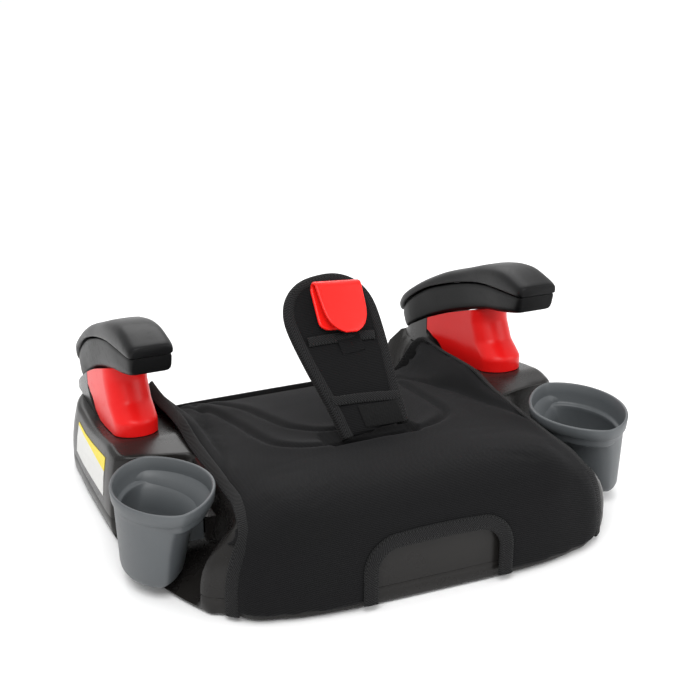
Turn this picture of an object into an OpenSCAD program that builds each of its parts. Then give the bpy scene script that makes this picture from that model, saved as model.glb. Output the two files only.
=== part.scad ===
// Backless belt-positioning booster seat. Millimetres, +Z up, the front faces -Y.
// Origin: on the floor, at the middle foot, 205 behind the front panel.

/* [Base] */
// Half width of the base at its widest
body_half_w = 221; // [205:1:235]
// Depth of the front panel in front of the origin
front_y = 205; // [195:1:215]
// Depth of the rear edge behind the origin
rear_y = 184; // [180:1:188]
// Height of the seam between the lower and upper shells
seam_z = 18; // [16:1:22]
// Wall thickness of the moulded shells
wall = 3; // [2.5:0.5:4]
// Gap between the floor and the lower shell
foot_gap = 1.5; // [1:0.5:3]

/* [Seat] */
// Height of the seat pan at the origin
pan_z = 53; // [48:1:58]
// Fall of the seat pan per millimetre towards the rear
pan_slope = 0.18; // [0.14:0.01:0.2]
// Height of the side rails beside the seat pan
rail_z = 76; // [72:1:80]
// Thickness of the foam at the middle of the seat
foam_t = 12; // [9:1:15]
// Thickness of the fabric cover
cover_t = 2.2; // [1.8:0.1:3]

/* [Cup holders] */
// Lengthways position of a cup rim's middle
cup_y = -93.5; // [-98:0.5:-88]

/* [Armrests] */
// Sideways position of the middle of an arm at its tip
arm_x = 180.5; // [176:0.5:184]
// Radius of the rounded front of an arm column
nose_r = 20; // [17:1:22]
// Thickness of the red column insert
insert_t = 2.6; // [2:0.2:4]

/* [Centre strap] */
// Lengthways position of the strap's fold line
strap_y = -73; // [-78:1:-68]
// Height of the strap's fold line
strap_z = 82; // [80:1:86]
// Angle of the strap above level at rest
strap_rise = 48; // [42:1:52]
// Sideways lean of the strap
strap_lean = 6; // [0:1:8]
// Thickness of the padded strap
strap_t = 8; // [6:1:10]
// Width of the red belt clip
clip_w = 42; // [38:1:46]
// Radius of the strap's anchor bar
bar_r = 4; // [3:0.5:5]

/* [Lower-anchor connectors] */
// Sideways position of a connector
latch_x = 158; // [156:1:160]
// Height of a connector's middle
latch_z = 38; // [36:1:42]
// Radius of a hook's pivot pin
pin_r = 2.5; // [2:0.25:3]

/* [Hidden] */
running_gap = 0.05;
fit_gap = 0.3;
top_half_w = 150;
seat_half_w = 143;
seat_mid_y = -20;
hub_r = 22;
side_bow = 49;
pocket_lean = 0.62;
pod_lean = 0.1;
corner_r = 66;
panel_half_w = 58;
rim_wall = wall + 1.2;
skirt_gap = 0.6;
skirt_t = -0.24;
arch_t = 0.68;
rear_shoulder_z = 66;
bar_z = 46;
foot_r = 13;
foot_spots = [[0, 0], [135, -150], [-135, -150], [150, 130], [-150, 130]];
boss_spots = [[70, -150], [80, 110]];
arm_screw_spots = [[180, 70], [178, 140]];
column_x = arm_x + 1.5;
column_low = 66;
column_high = 136;
rail_x0 = 167.3;
rail_low = 34;
rail_top = 55.7;
rail_flange = 16;
rail_flange_t = 2.6;
rail_web = 6;
clip_u0 = 90;
clip_gap = 6;
clip_leaf = 3.2;
clip_bend_r = clip_leaf + clip_gap / 2;
clip_h = 52;
clip_lean = 7.5;
clip_twist = 8;
back_leaf_y = 8;
clamp_x = 46;
clamp_screw_dy = 11;
latch_y = 145;
hook_y = 4;
hook_z = -3.4;
spring_r = 2.6;
spring_wire = 0.4;
spring_turns = 4;
spring_y = -15;
$fn = 48;

// ---------- helpers ----------
function lerp(a, b, t) = a + (b - a) * t;
function clamp01(t) = max(0, min(1, t));
function smooth(t) = let (c = clamp01(t)) c * c * (3 - 2 * c);
function arc(cx, cy, r, a0, a1, n) =
    [for (i = [0:n]) let (a = lerp(a0, a1, i / n)) [cx + r * cos(a), cy + r * sin(a)]];
function reversed(v) = [for (i = [len(v) - 1:-1:0]) v[i]];
function mirrored_half(half) = concat(half, [for (p = reversed(half)) [-p[0], p[1]]]);

// Closed skin through rings of equal, even length. Point i and point n-1-i of the first
// and last ring are joined across, which closes rings that are not quite flat. The diagonals
// of the second half mirror those of the first, so the two faces of a thin wall stay parallel.
module loft(rings) {
    n = len(rings[0]);
    m = len(rings);
    sides = [for (i = [0:m - 2], j = [0:n - 1])
        let (a = i * n + j, b = i * n + (j + 1) % n)
        each (2 * i < m - 1 ? [[a, a + n, b + n], [a, b + n, b]] : [[a, a + n, b], [b, a + n, b + n]])];
    lid = [for (i = [0:n / 2 - 2]) each [[i, i + 1, n - 2 - i], [i, n - 2 - i, n - 1 - i]]];
    top = [for (t = lid) [t[2], t[1], t[0]] + (m - 1) * n * [1, 1, 1]];
    polyhedron([for (r = rings) each r], concat(sides, lid, top));
}
module both_sides(side) {
    if (side < 0) mirror([1, 0, 0]) children();
    else children();
}

// ---------- plan of the base ----------
// Every outline lists the same number of points, from the middle of the front round the
// right side to the middle of the rear, so that rings of different shells line up.
function side_x(y) = body_half_w - side_bow * pow(y < 60 ? (60 - y) / 240 : (y - 60) / 140, 3.5);
function front_edge(x) = -front_y + 11 * pow(abs(x) / 142, 4);
function pocket(y) = smooth((y + 168) / 16) * (1 - smooth((y + 34) / 22));
function pod(y) = smooth((y + 34) / 22);
// How far the side wall leans in at height share t
function lean_in(t, y) = pocket(y) * lerp(pocket_lean, 1, sqrt(t)) + pod(y) * pod_lean * t * t
    + (1 - pocket(y) - pod(y)) * pow(t, 2.5);
// Three points on the straight between the end of a front corner and the first point of a side
function bridge(a, b) = [for (k = [1:3]) lerp(a, b, k / 4)];
front_xs = [4, 20, 38, 54, 62, 78, 96, 115];
side_ys = [-166, -158, -150, -135, -112, -88, -64, -46, -34, -24, -14, -4, 8, 20, 50, 80, 108];
function half_outline(t, d) =
    let (s = pow(t, 2.5), ry = rear_y - 2 * t,
        cx = lerp(side_x(108), top_half_w, pod_lean * t * t) - corner_r,
        corner = arc(lerp(145, 121, s), -167 + 2 * s, 27 - d, -84, -25, 4),
        side = [for (y = side_ys) [lerp(side_x(y), top_half_w, lean_in(t, y)) - d, y]])
    concat(
        [for (x = front_xs) [x, front_edge(x) + 3 * s + d]],
        corner, bridge(corner[4], side[0]), side,
        arc(cx, ry - corner_r, corner_r - d, 8, 88, 4),
        [[118, ry - 3 - d], [108, ry - 22 - d], [96, ry - 30 - d], [20, ry - 32 - d]]);

// ---------- height of the moulded seat pan and shoulders ----------
function pan(y) = max(pan_z - pan_slope * y, 27) - 20 * pow(clamp01((-168 - y) / 37), 2);
shoulder_line = [[-30, rail_z], [8, rail_z + 2.4], [20, rail_z + 0.5], [45, rail_z - 4.6],
    [75, rear_shoulder_z + 1], [100, rear_shoulder_z]];
function shoulder(y) = lookup(y, shoulder_line) - 6 * clamp01((-150 - y) / 30);
function rail_x(y) = 112 + 14 * smooth((y - 60) / 70);
function shell_top(x, y) = lerp(pan(y), shoulder(y), smooth((abs(x) - rail_x(y)) / (146 - rail_x(y))));
// Outline of the seat area between the rails
seat_corner = arc(117, -163, 22, -84, -25, 4);
seat_half = concat(
    [for (x = front_xs) [x, front_edge(x) + 12]],
    seat_corner, bridge(seat_corner[4], [seat_half_w, side_ys[0]]),
    [for (y = side_ys) [seat_half_w, min(y, 20 + (y - 20) * 0.95)]],
    arc(seat_half_w - 32, 112, 32, 6, 84, 4),
    [[110, 144.1], [104, 144.4], [94, 144.8], [20, 145]]);
seat_outline = mirrored_half(seat_half);
function wall_ring(t, d, drop) = [for (p = mirrored_half(half_outline(max(t, 0), d)))
    [p[0], p[1], lerp(seam_z, shell_top(p[0], p[1]) - drop, t)]];
// Ring of the seat surface at share k of the outline, ending in a small circle of radius hub_r
function seat_point(i, k) =
    let (n = len(seat_outline), w = (i + 0.5) * 360 / n, p = seat_outline[i])
    k == 0 ? [hub_r * sin(w), seat_mid_y - hub_r * cos(w)]
        : [p[0] * k, seat_mid_y + (p[1] - seat_mid_y) * k];
function seat_ring(k, lift, out = 0) = [for (i = [0:len(seat_outline) - 1])
    let (q = seat_point(i, k), grown = 1 + out / norm(q))
    [q[0] * grown, q[1] * grown, shell_top(q[0], q[1]) + lift]];
// Ring part of the way from the edge of the seat to the top of the wall
function rim_ring(share, d, drop) = let (a = seat_ring(1, 0), b = wall_ring(1, d, 0))
    [for (i = [0:len(a) - 1]) let (x = lerp(a[i][0], b[i][0], share), y = lerp(a[i][1], b[i][1], share))
        [x, y, shell_top(x, y) - drop]];
wall_ts = [0, 0.2, 0.5, 0.8, 1];
rim_shares = [0.7, 0.35, 0.12];
seat_ks = [1, 0.94, 0.87, 0.8, 0.5, 0];

module upper_shell() {
    color([0.05, 0.05, 0.055]) difference() {
        loft(concat(
            [for (k = reversed(seat_ks)) seat_ring(k, -wall)],
            [for (share = reversed(rim_shares)) rim_ring(share, wall, rim_wall)],
            [for (t = reversed(wall_ts)) wall_ring(t, wall, wall * t)],
            [for (t = wall_ts) wall_ring(t, 0, 0)],
            [for (share = rim_shares) rim_ring(share, 0, 0)],
            [for (k = seat_ks) seat_ring(k, 0)]));
        strap_slot();
        for (s = [-1, 1]) {
            translate([s * latch_x - 16.6, 160.3, latch_z - 10.7]) cube([33.2, 40, 22.6]);
            for (p = arm_screw_spots) translate([s * p[0], p[1], 55]) cylinder(r = 2.6, h = 20);
        }
    }
}
module strap_slot() {
    translate([-38, strap_y - 9, 44]) cube([76, 18, 60]);
}

// ---------- lower shell: a shallow tray whose rim meets the upper shell ----------
function boss_top(y) = pan(y + 8) - wall - 0.4;
function tray_ring(share, d, z) = [for (p = mirrored_half(half_outline(0, 0)))
    let (x = abs(p[0]), y = p[1], s = sign(p[0]), notch = pocket(y) * (side_x(y) - top_half_w),
        wide = x > 140 && y > -168 && y < -12 ? side_x(y) - share * notch : x)
    [s * (x > 125 ? wide - d : wide), y > 150 ? y - d : y + d * clamp01((-166 - y) / 6), z]];
module lower_shell() {
    color([0.04, 0.04, 0.045]) difference() {
        union() {
            loft([tray_ring(0, 4, foot_gap), tray_ring(0, 0.6, foot_gap + 3), tray_ring(0.36, 0, 10),
                tray_ring(pocket_lean, 0, seam_z - 0.2), tray_ring(pocket_lean, wall, seam_z - 0.2),
                tray_ring(0.36, wall, 10), tray_ring(0.3, wall + 1, foot_gap + wall)]);
            for (p = boss_spots, s = [-1, 1]) translate([s * p[0], p[1], foot_gap + 2])
                cylinder(r = 7.5, h = boss_top(p[1]) - foot_gap - 2);
        }
        for (p = boss_spots, s = [-1, 1]) translate([s * p[0], p[1], 0]) {
            translate([0, 0, -1]) cylinder(r = 5, h = boss_top(p[1]) - 10 + 1);
            cylinder(r = 2.6, h = 100);
        }
        for (p = foot_spots) translate([p[0], p[1], -1])
            cylinder(r = foot_r + 0.2, h = 1 + foot_gap + 1.3);
    }
}
module rubber_feet() {
    color([0.1, 0.1, 0.1]) for (p = foot_spots)
        translate([p[0], p[1], 0]) cylinder(r = foot_r, h = foot_gap + 1.1);
}
// Thread-forming screw, head down, standing on z = 0
module screw(head_r, head_h, shank_r, length) {
    cylinder(r = head_r, h = head_h);
    translate([0, 0, head_h]) cylinder(r = shank_r, h = length);
}
module shell_screws() {
    color([0.5, 0.5, 0.52]) for (p = boss_spots, s = [-1, 1])
        translate([s * p[0], p[1], boss_top(p[1]) - 13]) screw(4.5, 3, 2.3, 12.5);
}

// ---------- seat cushion ----------
function foam_thickness(k) = foam_t * (1 - 0.55 * pow(clamp01((k - 0.7) / 0.3), 2));
module foam_pad() {
    color([0.85, 0.83, 0.75]) difference() {
        loft(concat([for (k = reversed(seat_ks)) seat_ring(k, fit_gap)],
            [for (k = seat_ks) seat_ring(k, foam_thickness(k))]));
        strap_slot();
    }
}
// The skirt of the cover hangs down the front, past the seam of the shells, and leaves an arch
// open in the middle. At the sides its hem rises to the rails.
side_hem = 0.8;
function hem_share(p) = p[1] > side_ys[0] ? lerp(side_hem, 1, clamp01((p[1] - side_ys[0]) / 8))
    : p[1] > seat_corner[4][1]
        ? lerp(skirt_t, side_hem, (p[1] - seat_corner[4][1]) / (side_ys[0] - seat_corner[4][1]))
    : abs(p[0]) < panel_half_w ? arch_t : skirt_t;
// Ring 0 is the hem; the others lie level with the rings of the wall behind
function skirt_share(k, low) = k == 0 ? low : max(low + 0.003 * k, wall_ts[k - 1]);
function hem_lift(y) = 0.8 + 5.6 * smooth((y - 95) / 20);
function edge_lift(y) = max(foam_thickness(1) - 1, hem_lift(y) + 0.8);
function skirt_ring(k, d) = let (edge = seat_ring(1, 0, d))
    [for (i = [0:len(seat_outline) - 1]) let (p = seat_outline[i], e = edge[i])
        lerp(wall_ring(skirt_share(k, hem_share(p)), -d, 0)[i],
            [e[0], e[1], e[2] + lerp(hem_lift(e[1]), edge_lift(e[1]), k / 5)],
            smooth((p[1] - side_ys[1]) / 23))];
module seat_cover() {
    color([0.03, 0.03, 0.03]) difference() {
        loft(concat(
            [for (k = reversed(seat_ks)) seat_ring(k, foam_thickness(k) + fit_gap)],
            [for (k = [5:-1:0]) skirt_ring(k, skirt_gap)],
            [for (k = [0:5]) skirt_ring(k, skirt_gap + cover_t)],
            [for (k = seat_ks) seat_ring(k, foam_thickness(k) + fit_gap + cover_t, 0)]));
        strap_slot();
    }
}

// ---------- armrests, drawn on the right ----------
// Side view of an arm from tip to rear: [y, z] of its underside, its pad seam and its crown
arm_under = [[-31, 158], [-27, 155], [-2, 147], [28, 139], [58, 128.5], [88, 116.5],
    [118, 102], [148, 84.5], [170, 69]];
arm_seam = [[-35, 173], [-31, 172.5], [0, 168.5], [35, 163], [68, 154], [100, 142],
    [132, 127], [160, 106.5], [180, 86]];
arm_crown = [[-37, 181], [-32, 184], [3, 188], [42, 179], [80, 163.5], [116, 148],
    [150, 128], [176, 108], [190, 91]];
arm_in = [168, 163, 162, 162, 160, 155, 149, 144, 147];
arm_out = [195, 200, 201.5, 202, 202, 201.5, 200.5, 200, 196];
function under_z(y) = lookup(y, arm_under);
function nose_y(z) = lookup(z, [[66, 12], [80, 12], [97, 30], [120, 40], [142, 43]]);
function blend_point(a, b, t) = [lerp(a[0], b[0], t), lerp(a[1], b[1], t)];
// Ring across an arm at station i. shape holds [share of half width, share of height] pairs
function arm_ring(i, low, high, shape, grow) =
    let (mid = (arm_in[i] + arm_out[i]) / 2, half = (arm_out[i] - arm_in[i]) / 2 + grow,
        side = function(s) [for (q = shape) let (p = blend_point(low[i], high[i], q[1]))
            [mid + s * q[0] * half, p[0], p[1]]])
    concat(side(1), reversed(side(-1)));
stations = [0:len(arm_under) - 1];
housing_shape = [[0.94, 0.985], [1, 0.9], [1, 0.3], [0.95, 0.1], [0.84, 0]];
pad_shape = [[0.25, 1], [0.6, 0.96], [0.83, 0.83], [0.97, 0.6], [1, 0.35], [1, 0.1], [0.96, 0.02]];
module arm_housing(side) {
    color([0.05, 0.05, 0.05]) both_sides(side)
        loft([for (i = stations) arm_ring(i, arm_under, arm_seam, housing_shape, 0)]);
}
module arm_pad(side) {
    color([0.04, 0.04, 0.04]) both_sides(side)
        loft([for (i = stations) arm_ring(i, arm_seam, arm_crown, pad_shape, 1)]);
}

// Column section at level t, inset by d where the insert covers it
insert_rear = [[66, 96], [80, 112], [98, 122]];
function level_z(t) = lerp(column_low, column_high, t);
function nose_mid(t) = nose_y(level_z(t)) + nose_r;
function rear_edge(t) = lookup(level_z(t), insert_rear);
function inner_x(y) = lerp(column_x - nose_r, 144, clamp01((y - 60) / 80));
function column_ring(t, d) =
    let (cy = nose_mid(t), yr = rear_edge(t), half = lerp(yr, cy, 0.5), xo = column_x + nose_r,
        outer = concat(arc(column_x, cy, nose_r - d, -88, -4, 6),
            [[xo - d, half], [xo - d, yr], [xo, yr + 0.6], [xo, 150]], arc(xo - 14, 160, 14, 10, 80, 2)),
        inner = concat(arc(column_x, cy, nose_r - d, -92, -176, 6),
            [[inner_x(half) + d, half], [inner_x(yr) + d, yr], [inner_x(yr), yr + 0.6],
                [inner_x(150), 150]],
            arc(inner_x(150) + 15, 160, 14, 170, 100, 2)))
    [for (p = concat(outer, reversed(inner)))
        [p[0], p[1], lerp(shoulder(p[1]) + 0.45, under_z(p[1]) - 0.3, t)]];
column_ts = [0, 0.2, 0.45, 0.75, 1];
module arm_post(side) {
    color([0.06, 0.06, 0.06]) both_sides(side) difference() {
        loft([for (t = column_ts) column_ring(t, insert_t + 1)]);
        for (p = arm_screw_spots) translate([p[0], p[1], 60]) cylinder(r = 2.2, h = 22);
    }
}
// U-shaped insert round the front of the column
function insert_bottom(y) = shoulder(y) + 0.65 + 10 * pow(clamp01((y - 74) / 30), 2);
function insert_path(t, d) =
    let (cy = nose_mid(t), yr = rear_edge(t) - 0.3, half = lerp(yr, cy, 0.5), xo = column_x + nose_r)
    concat([[xo - d, yr], [xo - d, half]], arc(column_x, cy, nose_r - d, 0, -180, 12),
        [[inner_x(half) + d, half], [inner_x(yr) + d, yr]]);
module arm_insert(side) {
    color([0.85, 0.06, 0.04]) both_sides(side) loft([for (t = column_ts)
        [for (p = reversed(concat(insert_path(t, 0), reversed(insert_path(t, insert_t)))))
            [p[0], p[1], lerp(insert_bottom(p[1]), under_z(p[1]) - 0.4, t)]]]);
}
module arm_screws() {
    color([0.5, 0.5, 0.52]) for (s = [-1, 1], p = arm_screw_spots)
        translate([s * p[0], p[1], rear_shoulder_z - rim_wall - 3.1]) screw(5, 3, 2.2, 18);
}

// ---------- cup holders, drawn on the right ----------
// Outside then inside of a cup: [height, inner side, outer side, half length]
cup_rows = [[12, 190, 228, 34], [14, 184.5, 231, 38.5], [19, 180.5, 232, 42], [45, 175, 233, 45],
    [60, 169, 233.8, 47.6], [67, 159.4, 234.2, 50.4], [74, 156.6, 234.4, 52], [75.5, 153, 236, 55],
    [85.5, 152, 236.7, 56], [85.5, 154.8, 234, 53.2], [76, 158.4, 232.4, 50.4], [68, 162, 231.8, 48.3],
    [66.4, 165.5, 229, 45.8], [61, 173, 230.6, 44.2], [45, 178, 230.2, 42.2], [20, 183.5, 229, 39],
    [14.8, 190, 225, 33]];
function cup_ring(row) = let (c = (row[1] + row[2]) / 2, a = (row[2] - row[1]) / 2, n = 28)
    [for (i = [0:n - 1]) let (w = (i + 0.5) * 360 / n, k = cos(w) > 0 ? 0.1 : 0.2)
        [c + a * cos(w), cup_y + row[3] * sin(w) * (1 - k * abs(cos(w))), row[0]]];
module cup_holder(side) {
    color([0.22, 0.24, 0.27]) both_sides(side) difference() {
        union() {
            loft([for (row = cup_rows) cup_ring(row)]);
            translate([0, cup_y + 12, 0]) rotate([90, 0, 0]) linear_extrude(24)
                polygon([[164.6, 35], [164.6, 61], [171, 59.4], [175, 48], [177.4, 35]]);
        }
        translate([rail_x0 - fit_gap, cup_y - rail_flange / 2 - fit_gap, 30])
            cube([rail_flange_t + 2 * fit_gap, rail_flange + 2 * fit_gap, rail_top + fit_gap - 30]);
        translate([160, cup_y - rail_web / 2 - fit_gap, 30])
            cube([rail_x0 - 160, rail_web + 2 * fit_gap, rail_top + fit_gap - 30]);
    }
}
// T-shaped rail on the shell wall that the cup slides down onto
module cup_rail(side) {
    color([0.06, 0.06, 0.06]) both_sides(side) {
        translate([0, cup_y + 14, 0]) rotate([90, 0, 0]) linear_extrude(28)
            polygon([[159.5, rail_low], [153, rail_top], [163.6, rail_top], [163.6, rail_low]]);
        translate([163, cup_y - rail_web / 2, rail_low])
            cube([rail_x0 - 163 + 0.5, rail_web, rail_top - rail_low]);
        translate([rail_x0, cup_y - rail_flange / 2, rail_low])
            cube([rail_flange_t, rail_flange, rail_top - rail_low]);
    }
}

// ---------- centre strap ----------
module along_x(length) {
    rotate([0, 90, 0]) translate([0, 0, -length / 2]) children();
}
module anchor_bar() {
    color([0.6, 0.6, 0.62]) translate([0, strap_y, bar_z]) along_x(104) cylinder(r = bar_r, h = 104);
}
module clamp_spots() {
    for (s = [-1, 1]) translate([s * clamp_x, strap_y, 0]) children();
}
function under_pan(y) = pan(y) - wall - 0.3;
module anchor_clamps() {
    color([0.08, 0.08, 0.08]) clamp_spots() difference() {
        translate([-8, 0, 0]) rotate([90, 0, 90]) linear_extrude(16)
            polygon([[-16, bar_z - 9], [16, bar_z - 9],
                [16, under_pan(strap_y + 16)], [-16, under_pan(strap_y - 16)]]);
        translate([0, 0, bar_z]) along_x(20) cylinder(r = bar_r + running_gap, h = 20);
        for (dy = [-1, 1] * clamp_screw_dy) translate([0, dy, 0]) cylinder(r = 2.4, h = 90);
    }
}
module anchor_screws() {
    color([0.5, 0.5, 0.52]) clamp_spots() for (dy = [-1, 1] * clamp_screw_dy)
        translate([0, dy, bar_z - 12.2]) screw(4, 3, 2.2, pan(strap_y + dy) - bar_z + 8);
}
module strap_webbing() {
    color([0.05, 0.05, 0.05]) difference() {
        union() {
            translate([0, strap_y, bar_z]) along_x(50) cylinder(r = bar_r + 2, h = 50);
            translate([-25, strap_y - 1, bar_z + bar_r + 1]) cube([50, 2, strap_z - bar_z - bar_r - 4]);
        }
        translate([0, strap_y, bar_z]) along_x(60) cylinder(r = bar_r + 0.3, h = 60);
    }
}
module strap_slider() {
    color([0.55, 0.55, 0.57]) translate([0, strap_y, bar_z + 9]) difference() {
        translate([-31, -3.5, 0]) cube([62, 7, 3]);
        translate([-26, -1.4, -1]) cube([52, 2.8, 5]);
    }
}
// Strap frame: x across, y along the strap from the fold line, z out of its front face
module in_strap() {
    translate([0, strap_y, strap_z]) rotate([strap_rise, 0, 0]) rotate([0, 0, strap_lean]) children();
}
// Right half of the padded strap: [half width, distance from the fold line]
paddle_half = [[31.6, 4], [33, 18], [34.5, 36], [37, 54], [39.5, 70], [41.5, 86], [43, 102],
    [43.3, 116], [41.5, 127], [37, 137], [30, 145], [21, 150.5], [11, 153.3], [3, 154]];
module strap_pad() {
    color([0.03, 0.03, 0.03]) in_strap() translate([6, 0, -strap_t / 2])
        linear_extrude(strap_t) polygon(mirrored_half(paddle_half));
}
module in_clip() {
    in_strap() translate([11.5, clip_u0, strap_t / 2 + 3.6]) rotate([0, 0, -clip_lean])
        rotate([0, clip_twist, 0]) children();
}
module clip_webbing() {
    color([0.05, 0.05, 0.05]) in_strap() translate([1, 76, strap_t / 2 + 0.2]) cube([22, 20, 1.6]);
}
// Folded hook: a back leaf with rounded corners, a bend over the top and a rounded front leaf
module belt_clip() {
    color([0.9, 0.1, 0.08]) in_clip() intersection() {
        translate([-clip_w, 0, 0]) rotate([90, 0, 90]) linear_extrude(2 * clip_w) difference() {
            union() {
                translate([2, 0]) square([clip_h - 2 - clip_bend_r, 2 * clip_bend_r]);
                translate([clip_h - clip_bend_r, clip_bend_r]) circle(r = clip_bend_r);
                translate([0, clip_bend_r + clip_gap / 2]) square([4, clip_leaf]);
            }
            translate([-1, clip_leaf]) square([clip_h + 1 - clip_bend_r, clip_gap]);
            translate([-1, -1]) square([back_leaf_y + 1, clip_bend_r + 1]);
            translate([clip_h - clip_bend_r, clip_bend_r]) circle(r = clip_gap / 2);
        }
        union() {
            translate([0, 0, clip_bend_r]) linear_extrude(20) hull() {
                translate([0, 18]) circle(r = 18);
                translate([-clip_w / 2, 30]) square([clip_w, clip_h - 30]);
            }
            translate([-clip_w / 2, back_leaf_y, -1]) cube([clip_w, clip_h, clip_bend_r + 1.01]);
        }
    }
}

// ---------- lower-anchor connectors, drawn on the right ----------
// Connector frame: origin at the middle of the body, +Y towards the mouth
module in_latch(side) {
    both_sides(side) translate([latch_x, latch_y, latch_z]) children();
}
module latch_body(side) {
    color([0.12, 0.12, 0.13]) in_latch(side) difference() {
        translate([-14, -29, -7.5]) cube([28, 58, 15]);
        translate([-20, 17, -3.4]) cube([40, 20, 6.8]);
        translate([-2.4, -4, -10]) cube([4.8, 40, 14]);
        translate([0, hook_y, hook_z]) along_x(40) cylinder(r = pin_r + running_gap, h = 40);
        translate([-8, -22, 3]) cube([16, 14, 10]);
        translate([0, spring_y, -5]) cylinder(r = 3.6, h = 12);
        translate([-13, -35, -1.4]) cube([26, 12, 2.8]);
    }
}
module latch_hook(side) {
    color([0.65, 0.65, 0.67]) in_latch(side) difference() {
        translate([-2, 0, 0]) rotate([90, 0, 90]) linear_extrude(4)
            polygon([[-1, -7], [27.5, -7], [28, -1], [25.5, 3], [24, 3], [24, -3.8],
                [10, -3.8], [8, 0.2], [0, 0.2]]);
        translate([0, hook_y, hook_z]) along_x(40) cylinder(r = pin_r + running_gap, h = 40);
    }
}
module latch_pin(side) {
    color([0.7, 0.7, 0.72]) in_latch(side) translate([0, hook_y, hook_z])
        along_x(27.6) cylinder(r = pin_r, h = 27.6);
}
module latch_button(side) {
    color([0.8, 0.08, 0.06]) in_latch(side) translate([-7.7, -21.7, 6.2]) cube([15.4, 13.4, 3.4]);
}
function spring_ring(w) = [for (j = [0:3]) let (b = j * 90 + 45, r = spring_r + spring_wire * cos(b))
    [r * cos(w), r * sin(w), spring_wire * (1 + sin(b)) + w / 360 * 10 / spring_turns]];
module latch_spring(side) {
    color([0.6, 0.6, 0.62]) in_latch(side) translate([0, spring_y, -4.9])
        loft([for (i = [0:10 * spring_turns]) reversed(spring_ring(i * 36))]);
}
module latch_webbing(side) {
    color([0.05, 0.05, 0.05]) in_latch(side) translate([-12, -85, -1]) cube([24, 61.5, 2]);
}

// ---------- blank sticker on the left wall ----------
function label_side(t, d) = [for (y = [8, 20, 50, 80, 108])
    let (x = lerp(side_x(y), top_half_w, lean_in(t, y)))
    [x + d, y, lerp(seam_z, shell_top(x, y), t)]];
module side_label() {
    color([0.85, 0.85, 0.83]) both_sides(-1)
        loft([for (t = [0.2, 0.5, 0.8]) concat(label_side(t, 0.55), reversed(label_side(t, 0.15)))]);
}

lower_shell();
upper_shell();
rubber_feet();
shell_screws();
foam_pad();
seat_cover();
arm_post(-1);  // arm_post_left
arm_post(1);  // arm_post_right
arm_insert(-1);  // arm_insert_left
arm_insert(1);  // arm_insert_right
arm_housing(-1);  // arm_housing_left
arm_housing(1);  // arm_housing_right
arm_pad(-1);  // arm_pad_left
arm_pad(1);  // arm_pad_right
arm_screws();
cup_rail(-1);  // cup_rail_left
cup_rail(1);  // cup_rail_right
cup_holder(-1);  // cup_holder_left
cup_holder(1);  // cup_holder_right
anchor_bar();
anchor_clamps();
anchor_screws();
strap_webbing();
strap_slider();
strap_pad();
clip_webbing();
belt_clip();
latch_body(-1);  // latch_body_left
latch_body(1);  // latch_body_right
latch_hook(-1);  // latch_hook_left
latch_hook(1);  // latch_hook_right
latch_pin(-1);  // latch_pin_left
latch_pin(1);  // latch_pin_right
latch_button(-1);  // latch_button_left
latch_button(1);  // latch_button_right
latch_spring(-1);  // latch_spring_left
latch_spring(1);  // latch_spring_right
latch_webbing(-1);  // latch_webbing_left
latch_webbing(1);  // latch_webbing_right
side_label();
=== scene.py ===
"""Looks of a backless booster seat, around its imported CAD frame.

Lengths are millimetres until a mesh is made.
"""
import math

import bmesh
import bpy
import numpy as np
from mathutils import Matrix, Vector


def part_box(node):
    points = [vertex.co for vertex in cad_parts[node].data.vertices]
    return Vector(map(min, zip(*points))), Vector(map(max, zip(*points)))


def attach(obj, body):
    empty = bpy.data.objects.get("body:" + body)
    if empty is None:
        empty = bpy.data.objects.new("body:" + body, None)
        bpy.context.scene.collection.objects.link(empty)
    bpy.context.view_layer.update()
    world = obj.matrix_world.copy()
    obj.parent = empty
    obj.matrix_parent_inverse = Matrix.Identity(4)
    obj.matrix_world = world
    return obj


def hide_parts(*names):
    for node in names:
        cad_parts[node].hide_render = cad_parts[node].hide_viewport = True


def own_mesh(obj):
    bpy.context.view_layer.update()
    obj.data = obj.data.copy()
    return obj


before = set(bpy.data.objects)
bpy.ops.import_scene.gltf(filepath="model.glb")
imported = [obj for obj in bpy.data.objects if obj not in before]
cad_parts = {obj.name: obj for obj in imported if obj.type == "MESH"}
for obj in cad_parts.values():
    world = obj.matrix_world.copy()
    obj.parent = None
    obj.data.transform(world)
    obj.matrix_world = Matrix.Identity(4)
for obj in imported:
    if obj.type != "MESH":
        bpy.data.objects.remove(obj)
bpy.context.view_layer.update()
MM = 0.001
SIDES = (("left", -1), ("right", 1))


# ---------------------------------------------------------------- numbers and curves
def lerp(a, b, t):
    return a + (b - a) * t


def clamp01(t):
    return np.clip(t, 0.0, 1.0)


def smooth(t):
    t = clamp01(t)
    return t * t * (3 - 2 * t)


def catmull(p, i, t):
    """Point at share t of the way from row i of p to row i + 1, on a Catmull-Rom curve."""
    a, b, c, d = p[max(i - 1, 0)], p[i], p[i + 1], p[min(i + 2, len(p) - 1)]
    square, cube = 2 * a - 5 * b + 4 * c - d, 3 * b - a - 3 * c + d
    return 0.5 * (2 * b + (c - a) * t + square * t ** 2 + cube * t ** 3)


def travelled(p):
    """Length along the polyline p at each of its points."""
    return np.concatenate([[0], np.cumsum(np.linalg.norm(np.diff(p, axis=0), axis=1))])


def spline(points, count):
    """A smooth curve through points, as count points evenly spaced along its length."""
    p = np.asarray(points, float)
    shares = np.linspace(0, 1, 12, endpoint=False)
    out = np.array([catmull(p, i, t) for i in range(len(p) - 1) for t in shares] + [p[-1]])
    length = travelled(out)
    at = np.linspace(0, length[-1], count)
    return np.stack([np.interp(at, length, out[:, k]) for k in range(out.shape[1])], 1)


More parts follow.
